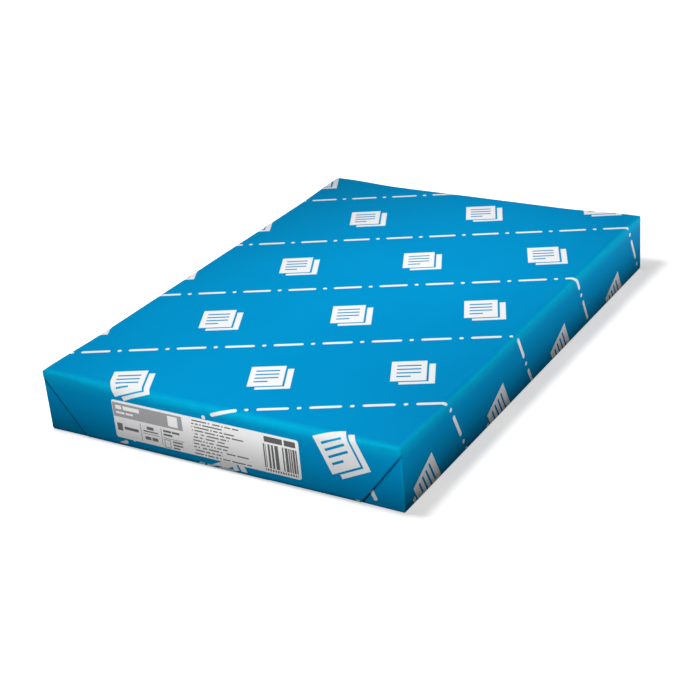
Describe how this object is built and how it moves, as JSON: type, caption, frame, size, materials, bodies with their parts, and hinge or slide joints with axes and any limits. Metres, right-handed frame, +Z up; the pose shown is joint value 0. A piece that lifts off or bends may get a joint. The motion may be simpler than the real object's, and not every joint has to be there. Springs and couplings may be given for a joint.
{
  "type": "ream of paper",
  "caption": "Sealed block of large copier paper in a glued blue wrapper with folded ends and a printed paper label on one end.",
  "frame": {"origin": "middle of the underside, which the pack rests on", "axes": "+Z up through the stack of sheets, +Y along the long side, away from the labelled end, +X to the right seen from the labelled end"},
  "size_m": [0.2972, 0.4225, 0.0491],
  "materials": {
    "wrapper": "satin",
    "label": "satin"
  },
  "bodies": {
    "root": {"wrapped_ream": "wrapper", "end_label": "label"}
  },
  "joints": []
}
